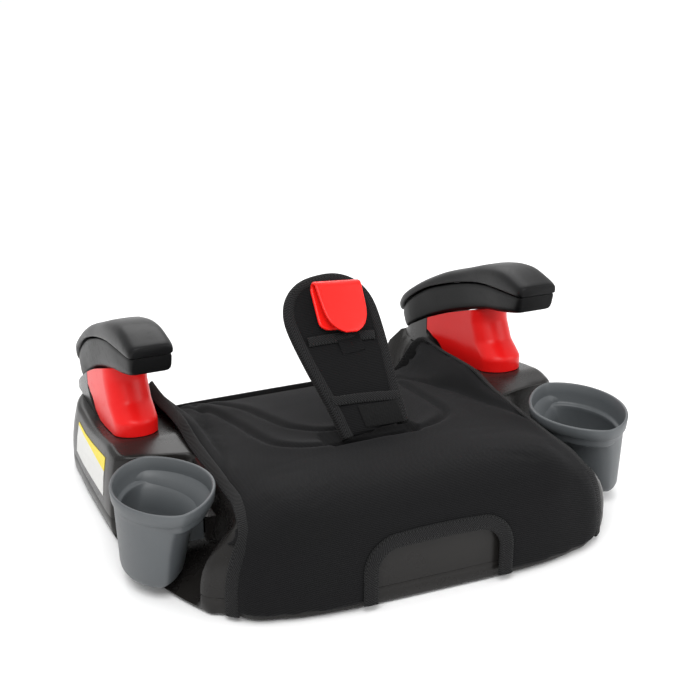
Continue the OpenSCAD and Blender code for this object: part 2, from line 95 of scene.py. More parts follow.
def stretch(table, count):
    """A table of rows, made smoother: count rows through the same rows, evenly in row number."""
    p = np.asarray(table, float).reshape(len(table), -1)
    out = []
    for u in np.linspace(0, len(p) - 1, count):
        i = min(int(u), len(p) - 2)
        out.append(catmull(p, i, u - i))
    return np.array(out)


def refine(ring, steps):
    """A closed ring with steps points per side, on a smooth curve through the same points."""
    p = np.asarray(ring, float)
    ahead = np.roll(p, -1, 0) - p
    d = np.maximum(np.linalg.norm(ahead, axis=1), 1e-6)[:, None]
    before, slope = np.roll(d, 1, 0), ahead / d
    tangent = (slope * before + np.roll(slope, 1, 0) * d) / (d + before)
    out = []
    for t in np.arange(steps) / steps:
        a, b = (1 + 2 * t) * (1 - t) ** 2, t * (1 - t) ** 2
        c, e = t * t * (3 - 2 * t), t * t * (t - 1)
        out.append(a * p + b * d * tangent + c * np.roll(p, -1, 0) + e * d * np.roll(tangent, -1, 0))
    return np.stack(out, 1).reshape(-1, p.shape[1])


def turn(axis, degrees):
    return np.array(Matrix.Rotation(math.radians(degrees), 3, axis))


def lookup(z, table):
    t = np.asarray(table, float)
    return np.interp(z, t[:, 0], t[:, 1])


# ---------------------------------------------------------------- mesh building
def make(name, verts, faces, uvs=None):
    """A mesh object from millimetre points. uvs lists one (u, v) per vertex, in millimetres."""
    me = bpy.data.meshes.new(name)
    me.from_pydata([tuple(float(c) * MM for c in v) for v in verts], [], faces)
    me.validate()
    if uvs is not None:
        layer = me.uv_layers.new(name="UVMap")
        for loop in me.loops:
            layer.data[loop.index].uv = uvs[loop.vertex_index]
    ob = bpy.data.objects.new(name, me)
    bpy.context.scene.collection.objects.link(ob)
    return ob


def tidy_normals(ob, angle=40):
    bm = bmesh.new()
    bm.from_mesh(ob.data)
    bmesh.ops.remove_doubles(bm, verts=bm.verts, dist=1e-6)
    bmesh.ops.recalc_face_normals(bm, faces=bm.faces)
    bm.to_mesh(ob.data)
    bm.free()
    ob.data.shade_smooth()
    ob.data.set_sharp_from_angle(angle=math.radians(angle))
    return ob


def loft(name, rings, angle=40, mirror=1):
    """Closed skin through rings of equal length, with a fan of triangles over each end."""
    n, m = len(rings[0]), len(rings)
    verts = [p for r in rings for p in r]
    faces = [(i * n + j, i * n + (j + 1) % n, (i + 1) * n + (j + 1) % n, (i + 1) * n + j)
             for i in range(m - 1) for j in range(n)]
    for ring, first in ((rings[0], 0), (rings[-1], (m - 1) * n)):
        middle = len(verts)
        verts.append(np.mean(ring, axis=0))
        faces += [(middle, first + j, first + (j + 1) % n) for j in range(n)]
    verts = np.array(verts) * [mirror, 1, 1]
    return tidy_normals(make(name, verts, faces), angle)


def add(ob, kind, **settings):
    m = ob.modifiers.new(kind.lower(), kind)
    for k, v in settings.items():
        setattr(m, k, v)
    return m


def apply_modifiers(ob):
    dg = bpy.context.evaluated_depsgraph_get()
    me = bpy.data.meshes.new_from_object(ob.evaluated_get(dg))
    old = ob.data
    ob.modifiers.clear()
    ob.data = me
    bpy.data.meshes.remove(old)
    return ob


def points_of(ob):
    co = np.empty(len(ob.data.vertices) * 3)
    ob.data.vertices.foreach_get("co", co)
    return co.reshape(-1, 3) / MM


def set_points(ob, p):
    ob.data.vertices.foreach_set("co", (np.asarray(p) * MM).ravel())
    ob.data.update()


def normals_of(ob):
    n = np.empty(len(ob.data.vertices) * 3)
    ob.data.vertex_normals.foreach_get("vector", n)
    return n.reshape(-1, 3)


def grid_faces(rows, cols):
    """Quads between neighbouring points of a grid of rows by cols points."""
    return [(i * cols + j, i * cols + j + 1, (i + 1) * cols + j + 1, (i + 1) * cols + j)
            for i in range(rows - 1) for j in range(cols - 1)]


def tape(name, path, normals, width, thick, power=2.6, sides=16):
    """A soft flat band swept along path, its width across the normals."""
    path, normals = np.asarray(path, float), np.asarray(normals, float)
    ahead = np.roll(path, -1, 0) - np.roll(path, 1, 0)
    ahead[0], ahead[-1] = path[1] - path[0], path[-1] - path[-2]
    ahead /= np.linalg.norm(ahead, axis=1)[:, None]
    across = np.cross(ahead, normals)
    across /= np.linalg.norm(across, axis=1)[:, None]
    up = np.cross(across, ahead)
    w = np.arange(sides) * 2 * math.pi / sides
    cx = np.sign(np.cos(w)) * np.abs(np.cos(w)) ** (2 / power)
    cz = np.sign(np.sin(w)) * np.abs(np.sin(w)) ** (2 / power)
    width = np.broadcast_to(width, len(path))
    along = travelled(path)
    verts, uvs = [], []
    for i in range(len(path)):
        for j in range(sides):
            verts.append(path[i] + across[i] * cx[j] * width[i] / 2 + up[i] * cz[j] * thick / 2)
            uvs.append((along[i], cx[j] * width[i] / 2 + cz[j] * thick * 0.3))
    n = len(path)
    faces = [(i * sides + j, i * sides + (j + 1) % sides, (i + 1) * sides + (j + 1) % sides,
              (i + 1) * sides + j) for i in range(n - 1) for j in range(sides)]
    faces += [tuple(range(sides)), tuple(range((n - 1) * sides, n * sides))]
    ob = make(name, verts, faces, uvs)
    bm = bmesh.new()
    bm.from_mesh(ob.data)
    bmesh.ops.recalc_face_normals(bm, faces=bm.faces)
    bm.to_mesh(ob.data)
    bm.free()
    ob.data.shade_smooth()
    return ob


def inflate(ob, voxel, pressure, cap, pin):
    """Padding: voxel remesh, then a short pressure cloth run with the movement capped.

    pin(points) is 1 where a point stays.
    """
    add(ob, "REMESH", mode="VOXEL", voxel_size=voxel * MM)
    apply_modifiers(ob)
    add(ob, "SMOOTH", factor=0.5, iterations=6)
    apply_modifiers(ob)
    start = points_of(ob)
    held = clamp01(pin(start))
    group = ob.vertex_groups.new(name="pin")
    for i, w in enumerate(held):
        if w > 0:
            group.add([i], float(w), "REPLACE")
    cloth = add(ob, "CLOTH").settings
    cloth.quality = 6
    cloth.mass = 0.3
    cloth.tension_stiffness = cloth.compression_stiffness = 25
    cloth.shear_stiffness = 12
    cloth.bending_stiffness = 1.5
    cloth.use_pressure = True
    cloth.uniform_pressure_force = pressure
    cloth.effector_weights.gravity = 0
    cloth.vertex_group_mass = "pin"
    scene = bpy.context.scene
    for f in range(1, 21):
        scene.frame_set(f)
    apply_modifiers(ob)
    scene.frame_set(1)
    moved = points_of(ob) - start
    far = np.linalg.norm(moved, axis=1)[:, None]
    moved *= np.minimum(1, cap / np.maximum(far, 1e-6)) * (1 - held)[:, None]
    set_points(ob, start + moved)
    ob.vertex_groups.clear()
    add(ob, "SUBSURF", levels=1, render_levels=1)
    apply_modifiers(ob)
    ob.data.shade_smooth()
    return ob


def near(points, line, sharpness):
    """Gaussian nearness of points (x, y) to a polyline."""
    p = points[:, :2]
    best = np.full(len(p), 1e9)
    line = np.asarray(line, float)
    for a, b in zip(line[:-1], line[1:]):
        d = b - a
        t = clamp01(((p - a) @ d) / (d @ d))
        best = np.minimum(best, np.linalg.norm(p - a - t[:, None] * d, axis=1))
    return np.exp(-((best / sharpness) ** 2))


# ---------------------------------------------------------------- materials
class Shader:
    """Small helper round one node material."""

    def __init__(self, name):
        self.mat = bpy.data.materials.new(name)
        self.mat.use_nodes = True
        self.tree = self.mat.node_tree
        self.tree.nodes.clear()
        self.out = self.node("ShaderNodeOutputMaterial")
        self.bsdf = self.node("ShaderNodeBsdfPrincipled")
        self.link(self.bsdf.outputs[0], self.out.inputs[0])
        self.coord = self.node("ShaderNodeTexCoord")

    def node(self, kind, **settings):
        n = self.tree.nodes.new(kind)
        for k, v in settings.items():
            setattr(n, k, v)
        return n

    def link(self, a, b):
        self.tree.links.new(a, b)

    def feed(self, socket, value):
        if hasattr(value, "is_output"):
            self.link(value, socket)
        else:
            socket.default_value = value

    def math(self, op, a, b=0.0):
        n = self.node("ShaderNodeMath", operation=op)
        self.feed(n.inputs[0], a)
        self.feed(n.inputs[1], b)
        return n.outputs[0]

    def noise(self, scale, detail=3.0, vector=None):
        n = self.node("ShaderNodeTexNoise")
        n.inputs["Scale"].default_value = scale
        n.inputs["Detail"].default_value = detail
        self.link(vector or self.coord.outputs["Object"], n.inputs["Vector"])
        return n.outputs["Fac"]

    def axes(self, source="Object"):
        n = self.node("ShaderNodeSeparateXYZ")
        self.link(self.coord.outputs[source], n.inputs[0])
        return n.outputs

    def wave(self, phase, pitch):
        """0..1 ridges, pitch metres apart, along the value phase."""
        s = self.math("SINE", self.math("MULTIPLY", phase, 2 * math.pi / pitch))
        return self.math("ADD", self.math("MULTIPLY", s, 0.5), 0.5)

    def ramp(self, fac, low, high, dark, light):
        n = self.node("ShaderNodeMapRange")
        for i, v in enumerate((fac, low, high, dark, light)):
            self.feed(n.inputs[i], v)
        return n.outputs[0]

    def tint(self, fac, a, b):
        n = self.node("ShaderNodeMix", data_type="RGBA")
        self.feed(n.inputs["Factor"], fac)
        n.inputs[6].default_value = (*a, 1)
        n.inputs[7].default_value = (*b, 1)
        return n.outputs[2]

    def bump(self, height, strength, distance):
        n = self.node("ShaderNodeBump")
        n.inputs["Strength"].default_value = strength
        n.inputs["Distance"].default_value = distance
        self.link(height, n.inputs["Height"])
        if self.bsdf.inputs["Normal"].links:
            self.link(self.bsdf.inputs["Normal"].links[0].from_socket, n.inputs["Normal"])
        self.link(n.outputs[0], self.bsdf.inputs["Normal"])

    def set(self, **values):
        for k, v in values.items():
            self.feed(self.bsdf.inputs[k.replace("_", " ")], v)
        return self


def plastic(name, dark, light, rough, grain=1400.0, grain_depth=0.00004, coat=0.0, sub=0.0, shine=0.5):
    """Moulded plastic: fine grain, slow colour and gloss drift, and scuffs that only show in the gloss."""
    s = Shader(name)
    drift = s.noise(14.0, 4.0)
    fine = s.noise(grain, 2.0)
    scuff = s.ramp(s.noise(160.0, 6.0), 0.55, 0.75, 0.0, 0.07)
    s.set(Base_Color=s.tint(s.ramp(drift, 0.3, 0.7, 0.0, 1.0), dark, light),
          Roughness=s.math("ADD", s.ramp(drift, 0.25, 0.75, rough - 0.04, rough + 0.05), scuff),
          Coat_Weight=coat, Coat_Roughness=0.25, Specular_IOR_Level=shine)
    s.bump(fine, 0.5, grain_depth)
    if sub:
        s.set(Subsurface_Weight=sub, Subsurface_Scale=0.004)
    return s.mat


def ribbed_fabric(name, dark, light, pitch=0.0019):
    """Knitted rib across the piece: ridges, broken into stitches, with fuzz."""
    s = Shader(name)
    x, y, z = s.axes()
    phase = s.math("ADD", y, z)
    wobble = s.math("MULTIPLY", s.noise(60.0, 2.0), 0.0006)
    rib = s.wave(s.math("ADD", phase, wobble), pitch)
    stitch = s.wave(s.math("ADD", x, s.math("MULTIPLY", phase, 0.5)), pitch * 0.55)
    weave = s.math("ADD", s.math("MULTIPLY", rib, 0.75), s.math("MULTIPLY", stitch, 0.25))
    fuzz = s.noise(900.0, 4.0)
    worn = s.noise(9.0, 3.0)
    uneven = s.math("MULTIPLY", s.math("ADD", fuzz, worn), 0.25)
    shade = s.math("ADD", s.math("MULTIPLY", weave, 0.55), uneven)
    s.set(Base_Color=s.tint(s.ramp(shade, 0.2, 0.85, 0.0, 1.0), dark, light),
          Roughness=s.ramp(worn, 0.3, 0.7, 0.82, 0.95), Sheen_Weight=0.05, Sheen_Roughness=0.45)
    s.bsdf.inputs["Sheen Tint"].default_value = (0.5, 0.5, 0.52, 1)
    s.bsdf.inputs["Specular IOR Level"].default_value = 0.08
    s.bump(weave, 0.7, 0.00045)
    s.bump(fuzz, 0.4, 0.00015)
    return s.mat


def twill(name, dark, light, stitch_at, pitch=0.0021, slant=0.9):
    """Binding tape: diagonal twill, and a stitch line at a distance from its middle."""
    s = Shader(name)
    u, v, _ = s.axes("UV")
    along = s.math("MULTIPLY", u, MM)
    diagonal = s.wave(s.math("ADD", along, s.math("MULTIPLY", v, MM * slant)), pitch)
    fuzz = s.noise(1100.0, 3.0)
    height = s.math("ADD", diagonal, s.math("MULTIPLY", fuzz, 0.25))
    colour = s.math("ADD", s.math("MULTIPLY", diagonal, 0.7), s.math("MULTIPLY", fuzz, 0.3))
    off = s.math("ABSOLUTE", s.math("SUBTRACT", s.math("ABSOLUTE", v), stitch_at))
    line = s.ramp(off, 0.35, 0.75, 1.0, 0.0)
    thread = s.math("MULTIPLY", line, s.ramp(s.wave(along, 0.003), 0.2, 0.5, 0.0, 1.0))
    # painted shade: the sunk stitch line is drawn darker between the thread dashes
    colour = s.math("SUBTRACT", colour, s.math("MULTIPLY", line, 0.5))
    colour = s.math("ADD", colour, s.math("MULTIPLY", thread, 0.9))
    height = s.math("SUBTRACT", height, s.math("MULTIPLY", line, 0.9))
    height = s.math("ADD", height, s.math("MULTIPLY", thread, 1.2))
    s.set(Base_Color=s.tint(s.ramp(colour, 0.1, 1.0, 0.0, 1.0), dark, light),
          Roughness=s.ramp(fuzz, 0.3, 0.7, 0.7, 0.85), Sheen_Weight=0.04, Sheen_Roughness=0.4)
    s.bsdf.inputs["Specular IOR Level"].default_value = 0.15
    s.bump(height, 0.8, 0.0006)
    return s.mat


def webbing_cloth(name, dark, light, shine=0.3):
    """Flat woven belt: fine ribs across and along."""
    s = Shader(name)
    x, y, z = s.axes()
    along = s.wave(s.math("ADD", y, z), 0.0016)
    across = s.wave(x, 0.0022)
    weave = s.math("MULTIPLY", along, s.ramp(across, 0.0, 1.0, 0.5, 1.0))
    fuzz = s.noise(800.0, 3.0)
    shade = s.math("ADD", s.math("MULTIPLY", weave, 0.7), s.math("MULTIPLY", fuzz, 0.3))
    s.set(Base_Color=s.tint(shade, dark, light),
          Roughness=s.ramp(fuzz, 0.3, 0.7, 0.55, 0.75), Sheen_Weight=0.03, Specular_IOR_Level=shine)
    s.bump(weave, 0.7, 0.0004)
    return s.mat


def steel(name, tone):
    s = Shader(name)
    grain = s.noise(500.0, 4.0)
    spots = s.noise(40.0, 4.0)
    s.set(Base_Color=s.tint(spots, tuple(c * 0.8 for c in tone), tone), Metallic=1.0,
          Roughness=s.ramp(grain, 0.3, 0.7, 0.24, 0.42))
    s.bump(grain, 0.3, 0.00005)
    return s.mat


def sticker(name):
    """Blank vinyl sticker with a plain coloured band along its top."""
    s = Shader(name)
    z = s.axes()[2]
    band = s.ramp(z, 0.0535, 0.0538, 0.0, 1.0)
    dust = s.noise(220.0, 4.0)
    s.set(Base_Color=s.tint(band, (0.62, 0.62, 0.6), (0.75, 0.6, 0.03)),
          Roughness=s.ramp(dust, 0.3, 0.7, 0.42, 0.6))
    s.bump(dust, 0.2, 0.00005)
    return s.mat


SHELL = plastic("shell_black", (0.010, 0.0092, 0.0088), (0.014, 0.013, 0.0122), 0.27, coat=0.04, shine=0.2)
ARM = plastic("arm_black", (0.004, 0.004, 0.0042), (0.006, 0.006, 0.0062), 0.42, grain=1800, shine=0.11)
SOFT = plastic("soft_touch_black", (0.004, 0.004, 0.0043), (0.0065, 0.0065, 0.0069), 0.38,
               grain=900, grain_depth=0.00008, shine=0.14)
RED = plastic("red_satin", (0.66, 0.006, 0.006), (0.74, 0.009, 0.008), 0.34, grain=1500, sub=0.03, shine=0.22)
CLIP = plastic("clip_red", (0.78, 0.009, 0.006), (0.86, 0.014, 0.01), 0.28, grain=1700, sub=0.04, shine=0.25)
CUP = plastic("cup_slate", (0.066, 0.073, 0.078), (0.08, 0.087, 0.092), 0.46, grain=1100, grain_depth=0.00007)
LATCH = plastic("latch_grey", (0.03, 0.03, 0.032), (0.045, 0.045, 0.047), 0.5)
RUBBER = plastic("foot_rubber", (0.03, 0.03, 0.03), (0.045, 0.045, 0.045), 0.75,
                 grain=700, grain_depth=0.0001)
STEEL = steel("zinc_steel", (0.6, 0.6, 0.62))
FABRIC = ribbed_fabric("cover_rib", (0.0035, 0.0035, 0.0037), (0.0105, 0.0105, 0.011))
STRAP_FABRIC = ribbed_fabric("strap_rib", (0.0035, 0.0035, 0.0037), (0.011, 0.011, 0.0115), pitch=0.0021)
TWILL = twill("binding_twill", (0.003, 0.003, 0.0032), (0.016, 0.016, 0.0165), 4.2)
STRAP_TWILL = twill("strap_twill", (0.0035, 0.0035, 0.0037), (0.02, 0.02, 0.0205), 3.6,
                    pitch=0.0022, slant=-0.9)
WEB = webbing_cloth("webbing_black", (0.004, 0.004, 0.0042), (0.016, 0.016, 0.0165))
LABEL = sticker("blank_sticker")
TAG = webbing_cloth("tag_satin", (0.002, 0.002, 0.0021), (0.006, 0.006, 0.0062), shine=0.12)


def dress(ob, material, body, slot, *nodes):
    """Material, body, finish slot (not used) and the CAD nodes a new piece stands for."""
    ob.data.materials.clear()
    ob.data.materials.append(material)
    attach(ob, body)
    if nodes:
        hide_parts(*nodes)
    return ob


# ---------------------------------------------------------------- plan and heights of the base, as in the CAD
FRONT_Y, REAR_Y, SEAM_Z, BODY_HALF, TOP_HALF, SEAT_HALF = 205, 184, 18, 221, 150, 143
FRONT_XS = [4, 20, 38, 54, 62, 78, 96, 115]
SIDE_YS = [-166, -158, -150, -135, -112, -88, -64, -46, -34, -24, -14, -4, 8, 20, 50, 80, 108]
COVER_T, GAP = 2.2, 0.3


def side_x(y):
    y = np.asarray(y, float)
    return BODY_HALF - 49 * np.where(y < 60, (60 - y) / 240, (y - 60) / 140) ** 3.5


def front_edge(x):
    return -FRONT_Y + 11 * (abs(x) / 142) ** 4


def arc(cx, cy, r, a0, a1, n):
    w = np.radians(np.linspace(a0, a1, n + 1))
    return [(cx + r * c, cy + r * s) for c, s in zip(np.cos(w), np.sin(w))]


def lean_in(t, y):
    pocket = smooth((y + 159) / 14) * (1 - smooth((y + 34) / 22))
    pod = smooth((y + 34) / 22)
    return pocket * lerp(0.62, 1, math.sqrt(t)) + pod * 0.1 * t * t + (1 - pocket - pod) * t ** 2.5


def bridge(a, b):
    return [(lerp(a[0], b[0], k / 4), lerp(a[1], b[1], k / 4)) for k in (1, 2, 3)]


def half_outline(t, d):
    t = max(t, 0.0)
    s = t ** 2.5
    cx, ry = lerp(float(side_x(108)), TOP_HALF, 0.1 * t * t) - 66, REAR_Y - 2 * t
    corner = arc(lerp(138, 124, s), -167 + 2 * s, 27 - d, -84, -25, 4)
    side = [(lerp(float(side_x(y)), TOP_HALF, lean_in(t, y)) - d, y) for y in SIDE_YS]
    return ([(x, front_edge(x) + 3 * s + d) for x in FRONT_XS] + corner + bridge(corner[-1], side[0]) + side
            + arc(cx, ry - 66, 66 - d, 8, 88, 4)
            + [(118, ry - 3 - d), (108, ry - 22 - d), (96, ry - 30 - d), (20, ry - 32 - d)])


def whole(half):
    return np.array(list(half) + [(-x, y) for x, y in reversed(half)])


def pan(y):
    return np.maximum(53 - 0.18 * y, 27) - 20 * clamp01((-168 - y) / 37) ** 2


SHOULDER = [(-30, 76), (8, 78.4), (20, 76.5), (45, 71.4), (75, 67), (100, 66)]


def shell_top(x, y):
    shoulder = lookup(y, SHOULDER) - 6 * clamp01((-150 - y) / 30)
    rail = 112 + 14 * smooth((y - 60) / 70)
    return lerp(pan(y), shoulder, smooth((np.abs(x) - rail) / (146 - rail)))


SEAT_CORNER = arc(121, -163, 22, -84, -25, 4)
SEAT = whole([(x, front_edge(x) + 12) for x in FRONT_XS] + SEAT_CORNER
             + bridge(SEAT_CORNER[-1], (SEAT_HALF, -166))
             + [(SEAT_HALF, min(y, 20 + (y - 20) * 0.95)) for y in SIDE_YS]
             + arc(SEAT_HALF - 32, 112, 32, 6, 84, 4) + [(110, 144.1), (104, 144.4), (94, 144.8), (20, 145)])


def wall_ring(t, d, drop=0.0):
    q = whole(half_outline(t, d))
    return np.column_stack([q, lerp(SEAM_Z, shell_top(q[:, 0], q[:, 1]) - drop, t)])


def seat_ring(k, lift, out=0.0):
    n = len(SEAT)
    if k == 0:
        w = (np.arange(n) + 0.5) * 2 * math.pi / n
        q = np.column_stack([22 * np.sin(w), -20 - 22 * np.cos(w)])
    else:
        q = np.column_stack([SEAT[:, 0] * k, -20 + (SEAT[:, 1] + 20) * k])
    r = np.linalg.norm(q, axis=1)
    q = q * (1 + out / r)[:, None]
    return np.column_stack([q, shell_top(q[:, 0], q[:, 1]) + lift])


def foam_thickness(k):
    return 12 * (1 - 0.55 * clamp01((k - 0.7) / 0.3) ** 2)


def hem_share(x, y):
    if y > -166:
        return lerp(0.8, 1, clamp01((y + 166) / 8))
    if y > SEAT_CORNER[-1][1] + 1:
        return 0.8
    return 0.68 if abs(x) < 58 else -0.24


def skirt_ring(t, d):
    edge = seat_ring(1, 0, d)
    out = []
    for i, (x, y) in enumerate(SEAT):
        wall = wall_ring(lerp(hem_share(x, y), 1, t), -d)[i]
        e = edge[i] + [0, 0, lerp(0.8, foam_thickness(1) - 1, t)]
        out.append(lerp(wall, e, smooth((y + 158) / 23)))
    return np.array(out)


# ---------------------------------------------------------------- moulded shells
def rim_ring(share, outer, drop):
    q = lerp(seat_ring(1, 0), outer, share)
    return np.column_stack([q[:, :2], shell_top(q[:, 0], q[:, 1]) - drop])


def rounded_edge(round_r):
    """Rings over the top edge of the wall, and the ring where the flat shoulder begins."""
    below, edge, seat = wall_ring(0.91, 0), wall_ring(1, 0), seat_ring(1, 0)
    inward = seat - edge
    far = np.linalg.norm(inward, axis=1)[:, None]
    flat = edge + inward * np.minimum(0.8, round_r / far)
    flat[:, 2] = shell_top(flat[:, 0], flat[:, 1])
    over = [below * (1 - u) ** 2 + edge * 2 * u * (1 - u) + flat * u * u for u in (0, 0.2, 0.4, 0.6, 0.8, 1)]
    return over, flat


def shell_skin():
    """Upper shell with a rounded shoulder, open below, with a mouth for each rear connector."""
    over, flat = rounded_edge(5.5)
    inner_wall = wall_ring(1, 3)
    rings = [seat_ring(k, -3) for k in (0, 0.5, 0.8, 0.94, 1)]
    rings += [rim_ring(share, inner_wall, 4.2) for share in (0.12, 0.35, 0.7)]
    rings += [wall_ring(t, 3, 3 * t) for t in (1, 0.8, 0.5, 0.2, 0)]
    rings += [wall_ring(t, 0) for t in (0, 0.1, 0.2, 0.35, 0.5, 0.65, 0.8)] + over
    rings += [rim_ring(share, flat, 0) for share in (0.7, 0.35, 0.12)]
    rings += [seat_ring(k, 0) for k in (1, 0.94, 0.87, 0.8, 0.5, 0)]
    ob = loft("shell_skin", [refine(r, 3) for r in rings], 50)
    for sign in (-1, 1):
        x, (y0, y1), (z0, z1), half = sign * 158, (160.3, 215.0), (27.3, 49.9), 16.6
        plan = ((-half, y0), (half, y0), (half, y1), (-half, y1))
        corners = [(x + dx, y, z) for z in (z0, z1) for dx, y in plan]
        faces = [(0, 1, 2, 3), (7, 6, 5, 4), (0, 4, 5, 1), (1, 5, 6, 2), (2, 6, 7, 3), (3, 7, 4, 0)]
        cutter = tidy_normals(make("mouth_cutter", corners, faces))
        add(ob, "BOOLEAN", operation="DIFFERENCE", object=cutter, solver="EXACT")
        apply_modifiers(ob)
        bpy.data.objects.remove(cutter)
    ob.data.set_sharp_from_angle(angle=math.radians(45))
    return dress(ob, SHELL, "base", "shell_plastic", "upper_shell")


def tray_ring(share, d, z):
    out = []
    for x, y in whole(half_outline(0, 0)):
        ax, sign = abs(x), math.copysign(1, x)
        if ax > 140 and -159 < y < -12:
            notch = smooth((y + 159) / 14) * (1 - smooth((y + 34) / 22)) * (side_x(y) - TOP_HALF)
            ax = side_x(y) - share * notch
        across = ax - d if abs(x) > 125 else ax
        out.append((sign * across, y - d if y > 150 else y + d * clamp01((-166 - y) / 6), z))
    return np.array(out)


def tray_skin():
    rows = ((0, 4, 1.5), (0, 1.6, 2.2), (0, 0.6, 4.0), (0.36, 0, 10), (0.62, 0, 17.2), (0.62, 0.5, 17.7),
            (0.62, 2.8, 17.7), (0.36, 3, 10), (0.3, 4, 4.5))
    ob = loft("tray_skin", [refine(tray_ring(*row), 3) for row in rows], 50)
    return dress(ob, SHELL, "base", "shell_plastic", "lower_shell")


# ---------------------------------------------------------------- seat cushion
OUTER_SEAM = [(114, 138), (104, 110), (95, 76), (90, 20), (87, -25), (80, -55), (60, -73), (30, -82),
              (0, -84)]
INNER_SEAM = [(88, 142), (76, 105), (67, 69), (61, 30), (55, -5), (45, -25), (30, -40), (0, -46)]
WING_SEAM = [(98, 128), (104, 85), (118, 40), (125, 1), (130, -44), (138, -76), (146, -98)]
STRAP_Y = -73


def both(line):
    return [spline(line, 40), spline([(-x, y) for x, y in line], 40)]


def wing_lift(p):
    """How far the side wing beside each arm column stands up."""
    x, y = np.abs(p[:, 0]), p[:, 1]
    return 8 * smooth((x - 112) / 34) * smooth((y + 25) / 85) * smooth((146 - y) / 36)


def strap_room(p):
    """Height the cushion may reach round the strap's foot, so that the strap can fold both ways."""
    behind = p[:, 1] - STRAP_Y
    room = np.where(behind > 0, 76.0 + 0.2 * behind, 75.0 - 0.8 * behind)
    return room + 20 * smooth((np.abs(p[:, 0]) - 41) / 9)


def seat_cushion():
    ks = [1, 0.97, 0.94, 0.9, 0.86, 0.8, 0.7, 0.55, 0.35, 0]
    rings = [seat_ring(k, GAP) for k in reversed(ks)]
    rings += [skirt_ring(t, -2.0) for t in (1, 0.75, 0.5, 0.25, 0)]
    rings += [skirt_ring(t, 5.2) for t in (0, 0.25, 0.5, 0.75, 1)]
    rings += [seat_ring(k, foam_thickness(k) + GAP + COVER_T) for k in ks]
    ob = loft("seat_cushion", [refine(r, 2) for r in rings])

    def pin(p):
        on_top = smooth((p[:, 2] - shell_top(p[:, 0], p[:, 1]) - 4) / 3)
        front = smooth((-p[:, 1] - 203) / 4) * smooth((p[:, 2] - 12) / 8)
        edge = smooth((np.abs(p[:, 0]) - 132) / 8) * smooth((p[:, 1] + 175) / 10)
        return 1 - np.maximum(on_top * (1 - edge), front * smooth((np.abs(p[:, 0]) - 70) / 20))

    inflate(ob, 4.5, 4.0, 4.0, pin)
    p = points_of(ob)
    top = smooth((normals_of(ob)[:, 2] - 0.2) / 0.3) * smooth((p[:, 2] - shell_top(p[:, 0], p[:, 1]) - 5) / 3)
    move = np.zeros(len(p))
    for line, depth, width in ((OUTER_SEAM, 4.6, 4.5), (INNER_SEAM, 4.2, 4.5), (WING_SEAM, 3.6, 5.0)):
        for side in both(line):
            move -= depth * near(p, side, width)
            move += 0.55 * depth * near(p, side, width * 3.4)
        slot = np.maximum(np.abs(p[:, 0]) / 36, np.abs(p[:, 1] - STRAP_Y) / 6.5)
    move -= 15 * (1 - smooth((slot - 0.75) / 0.5))
    move -= 1.2 * np.exp(-((p[:, 0] / 62) ** 4) - ((p[:, 1] - STRAP_Y - 4) / 16) ** 2)
    p[:, 2] += move * top + wing_lift(p) * smooth((p[:, 2] - shell_top(p[:, 0], p[:, 1]) + 2) / 3.5)
    p[:, 2] = np.where(top > 0.02, np.minimum(p[:, 2], strap_room(p)), p[:, 2])
    set_points(ob, p)
    return dress(ob, FABRIC, "base", "cover_fabric", "seat_cover", "foam_pad")


def cover_binding():
    """Tape along the open edge of the cover: up each front corner, along the sides and round the rear."""
    columns = [skirt_ring(t, 5.0) for t in (0, 0.2, 0.4, 0.6, 0.8, 0.93)]
    rim = (skirt_ring(0.75, 3.2) + seat_ring(1, foam_thickness(1) + 1.0, 2.4)) / 2
    n, corner = len(SEAT), 12
    path = [c[corner] for c in columns] + [rim[i] for i in range(corner + 3, n - corner - 3)]
    path += [c[n - 1 - corner] for c in reversed(columns)]
    path = spline(path, 420)
    for _ in range(12):
        path[1:-1] = path[1:-1] * 0.5 + (path[:-2] + path[2:]) * 0.25
    level = smooth((path[:, 2] - 62) / 16)
    path[:, 2] += 0.85 * wing_lift(path)
    out = path * [1, 1, 0]
    out /= np.linalg.norm(out, axis=1)[:, None]
    normal = out * (1 - 0.45 * level)[:, None] + np.array([0, 0, 1]) * (0.75 * level)[:, None]
    width = lerp(12.5, 10.0, level)
    return dress(tape("cover_binding", path, normal, width, 3.4), TWILL, "base", "cover_fabric")


def arch_binding():
    """Wide tape round the opening at the middle of the front."""
    half, top, r = 60.5, 60.0, 25.0
    xz = [(-half, z) for z in np.linspace(7, top - r, 8)]
    xz += [(-half + r - r * math.cos(a), top - r + r * math.sin(a))
           for a in np.linspace(0.15, math.pi / 2, 8)]
    xz += [(x, z) for x, z in [(-18, top + 0.8), (0, top + 1)]]
    xz += [(-x, z) for x, z in reversed(xz[:-1])]
    path = spline([(x, front_edge(x) - 5.4 + 3 * clamp01((z - SEAM_Z) / 55) ** 2.5, z) for x, z in xz], 200)
    normal = np.tile([0.0, -1.0, 0.12], (len(path), 1))
    return dress(tape("arch_binding", path, normal, 13.0, 3.6), TWILL, "base", "cover_fabric")


